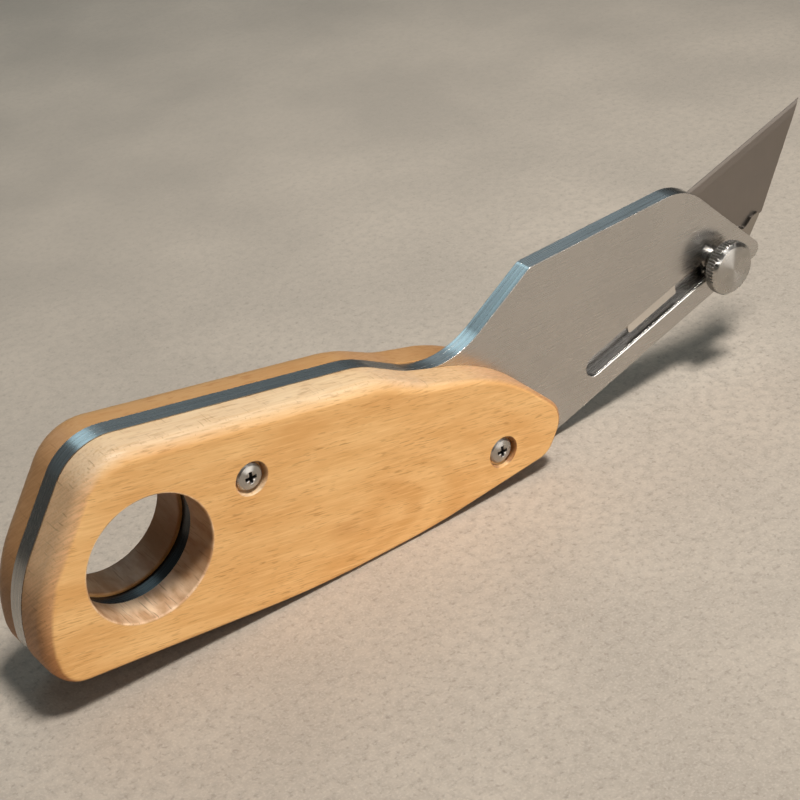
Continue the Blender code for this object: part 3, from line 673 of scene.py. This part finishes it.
# %% Dress the plates
SLOT_CHAMFER = 0.45 * MM
OUTER_BREAK = 0.09 * MM
LAYER_BREAK = 0.02 * MM
BARE_FROM_X = -7.0 * MM
for name in ("near_plate", "core_plate", "far_plate"):
    shape = solid_copy(name)
    outer = max(abs(v.co.y) for v in shape.verts) - OUTER_BREAK / 2
    if name != "core_plate":
        rim = [e for e in sharp_edges(shape) if min(abs(v.co.y) for v in e.verts) > outer]
        rim = [e for e in rim if min(v.co.x for v in e.verts) > BARE_FROM_X]
        rim = [e for e in rim if not all(beside_slot(v.co) for v in e.verts)]
        break_edges(shape, rim, OUTER_BREAK, 3)
    if name == "near_plate":
        mouth = [e for e in sharp_edges(shape)
                 if all(v.co.y < -outer and beside_slot(v.co) for v in e.verts)]
        break_edges(shape, mouth, SLOT_CHAMFER)
        print("slot's mouth has", len(mouth), "edges")
    layer = sharp_edges(shape)
    if name != "core_plate":
        layer = [e for e in layer if max(abs(v.co.y) for v in e.verts) < outer - OUTER_BREAK]
    break_edges(shape, layer, LAYER_BREAK)
    keep_flat(seat(name + "_steel", shape, name, satin_steel, crease=ROUNDED_CREASE))

# %% [markdown]
# ## Blade and carrier
# A trapezoid blade is ground twice: a long shallow grind, and a short steep one at the very edge.
# The solid has only the short one. A cut across the faces adds the line where the long grind starts,
# and thinning the blade at the old line makes both grinds. The hidden rear corner is nipped, so that
# it clears the rounded end of the channel when the blade is drawn in.

# %% Grind the blade
GRIND_LENGTH = 2.4 * MM
GRIND_THINNING = 0.62
SHORT_GRIND_LEAST = 0.2 * MM
SHORT_GRIND_MOST = 1.2 * MM
NIP = 0.5 * MM
AT_CORNER = NIP / 10
GRIND_CREASE = math.radians(4)
shape = solid_copy("blade")
edge_height = max(v.co.dot(up_blade) for v in shape.verts)
middle = sum(v.co.y for v in shape.verts) / len(shape.verts)
short_grind = [v for v in shape.verts
               if SHORT_GRIND_LEAST < edge_height - v.co.dot(up_blade) < SHORT_GRIND_MOST]
everything = shape.verts[:] + shape.edges[:] + shape.faces[:]
start = up_blade * (edge_height - GRIND_LENGTH)
bmesh.ops.bisect_plane(shape, geom=everything, plane_co=start, plane_no=up_blade)
bmesh.ops.scale(shape, verts=short_grind, vec=(1, GRIND_THINNING, 1),
                space=Matrix.Translation((0, -middle, 0)))
rear_end = min(v.co.dot(slide_axis) for v in shape.verts) + AT_CORNER
at_rear = [e for e in shape.edges if all(v.co.dot(slide_axis) < rear_end for v in e.verts)]
corner = [e for e in at_rear
          if all(edge_height - v.co.dot(up_blade) < AT_CORNER for v in e.verts)]
break_edges(shape, corner, NIP)
print("rear corner nipped at", len(corner), "edge")
seat("blade_ground", shape, "blade", blade_steel, crease=GRIND_CREASE)
print("long grind starts", GRIND_LENGTH / MM, "mm from the edge at", len(short_grind),
      "thinned points")

# %% [markdown]
# The carrier and its pin are thin and mostly hidden, so they keep the edges of their solids.

# %% Dress the carrier and the pin
for name in ("blade_carrier", "notch_pin"):
    seat(name + "_strip", solid_copy(name), name, carrier_steel)

# %% [markdown]
# ## Turned screws
# The thumb screw and the scale screws are turned and plated. A lathe leaves fine rings on a face,
# and they spread a highlight outwards into two wedges. Real rings would be far smaller than a pixel,
# so the shader's anisotropy stands for them: it stretches highlights along a tangent, which here
# points away from the axis.

# %% Recipe for turned metal
RING_PITCH = 0.5 * MM
TURNED_PALE = (0.52, 0.51, 0.49, 1)
TURNED_GREY = (0.44, 0.43, 0.41, 1)
TURNED_RING = (0.36, 0.35, 0.34, 1)


def turned_metal(name, axis):
    """Bright metal with lathe rings round an axis along Y."""
    material, tree, shader, coords = new_finish(name)
    place = coords.outputs["Object"]
    outwards, reach = from_axis(tree, place, axis)
    tree.links.new(vector_maths(tree, "NORMALIZE", outwards), shader.inputs["Tangent"])
    shader.inputs["Anisotropic"].default_value = 0.8
    rings = maths(tree, "SINE", times(tree, reach, math.tau / RING_PITCH))
    clouds = speckle(tree, place, (3, 3, 3), 3.0)
    shade = tint(tree, between(tree, clouds, 0.35, 0.7), TURNED_PALE, TURNED_GREY)
    shade = tint(tree, between(tree, rings, -1.0, 1.0, 0.0, 0.2), shade, TURNED_RING)
    tree.links.new(shade, shader.inputs["Base Color"])
    shader.inputs["Metallic"].default_value = 1.0
    tree.links.new(between(tree, clouds, 0.3, 0.7, 0.25, 0.33), shader.inputs["Roughness"])
    return material


print("recipe ready: turned_metal")

# %% [markdown]
# The axis of a screw runs through the middle of its box. The thumb screw's edges are broken very
# finely, because a wider break would eat the flutes of its knurl.

# %% Dress the thumb screw
THUMB_BREAK = 0.03 * MM


def screw_axis(node):
    """A point on the axis of a screw that lies along Y."""
    low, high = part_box(node)
    return (low.x + high.x) / 2, 0, (low.z + high.z) / 2


shape = solid_copy("thumb_screw")
break_edges(shape, sharp_edges(shape), THUMB_BREAK)
thumb_bright = turned_metal("thumb_screw_bright", screw_axis("thumb_screw"))
seat("thumb_screw_turned", shape, "thumb_screw", thumb_bright)

# %% [markdown]
# The cross in a screw head is driven in by a punch, and its recess is painted dark as painted shade.
# Its walls are the steep faces near the axis, and its floor is the deep ones, so they are picked by
# how they face and how deep they lie, and get a second, darker finish.

# %% Dress the scale screws, with painted shade in their crosses
RECESS_REACH = 1.85 * MM
HEAD_DEPTH = 1.6 * MM
RECESS_FLOOR = 0.8 * MM
STEEP_BELOW = 0.6
# A near-black finish that paints the shade in the screws' crosses.
recess_painted_shade = ground_metal("recess_painted_shade", (0.09, 0.085, 0.085, 1), 0.5, (0.5, 0.5, 0.5))[0]
for name in [n for n in frame["nodes"] if n.endswith("_screw") and n != "thumb_screw"]:
    shape = solid_copy(name)
    axis = screw_axis(name)
    head = max(abs(v.co.y) for v in shape.verts) - HEAD_DEPTH
    for face in shape.faces:
        at = face.calc_center_median()
        close = math.hypot(at.x - axis[0], at.z - axis[2]) < RECESS_REACH and abs(at.y) > head
        in_shade = abs(face.normal.y) < STEEP_BELOW or abs(at.y) < head + RECESS_FLOOR
        face.material_index = int(close and in_shade)
    piece = seat(name + "_turned", shape, name, turned_metal(name + "_bright", axis))
    piece.data.materials.append(recess_painted_shade)

# %% [markdown]
# The barrels and the nut are hidden inside the knife. They get a plain break and the plated finish,
# so that they look right when someone takes the model apart.

# %% Dress the barrels and the nut
BARREL_BREAK = 0.08 * MM
for name in ("front_barrel", "rear_barrel", "clamp_nut"):
    shape = solid_copy(name)
    break_edges(shape, sharp_edges(shape), BARREL_BREAK)
    seat(name + "_plated", shape, name, zinc_plate)
